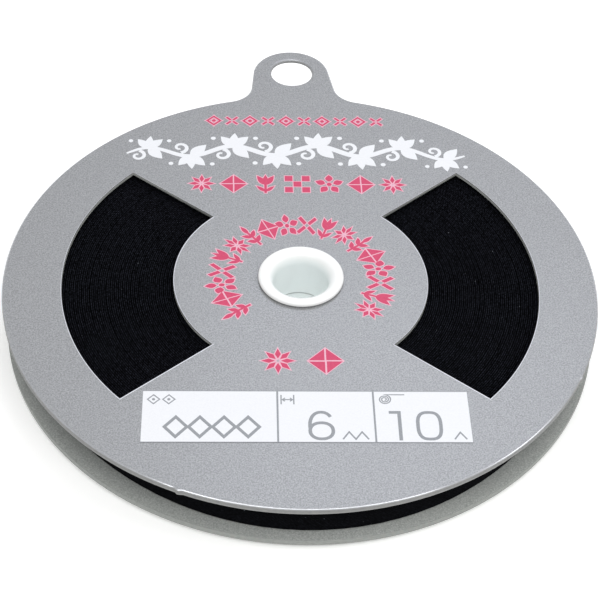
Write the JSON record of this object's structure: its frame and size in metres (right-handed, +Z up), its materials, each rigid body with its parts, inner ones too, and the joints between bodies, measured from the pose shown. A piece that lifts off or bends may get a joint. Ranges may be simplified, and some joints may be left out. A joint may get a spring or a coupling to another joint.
{
  "type": "roll of bias binding",
  "caption": "Folded black bias binding wound edge-up as a flat pancake on a white flanged hub between two thin grey discs with see-through windows and a hang tab.",
  "frame": {"origin": "centre of the footprint of the whole reel, on the surface it lies on, under the back hub flange's level", "axes": "+Z up along the hub's axis, through the printed front disc; +Y from the hub towards the hang tab; +X to the right of the upright print"},
  "size_m": [0.1, 0.1144, 0.0108],
  "materials": {
    "disc": "satin silver-grey with fine grain",
    "hub": "glossy white moulded",
    "tape": "matt black plain-woven cotton",
    "print": "screen-printed ink, pink-red, white and grey"
  },
  "bodies": {
    "root": {"hub_back": "hub", "back_disc": "disc", "binding": "tape", "front_disc": "disc", "hub_front": "hub"}
  },
  "joints": []
}
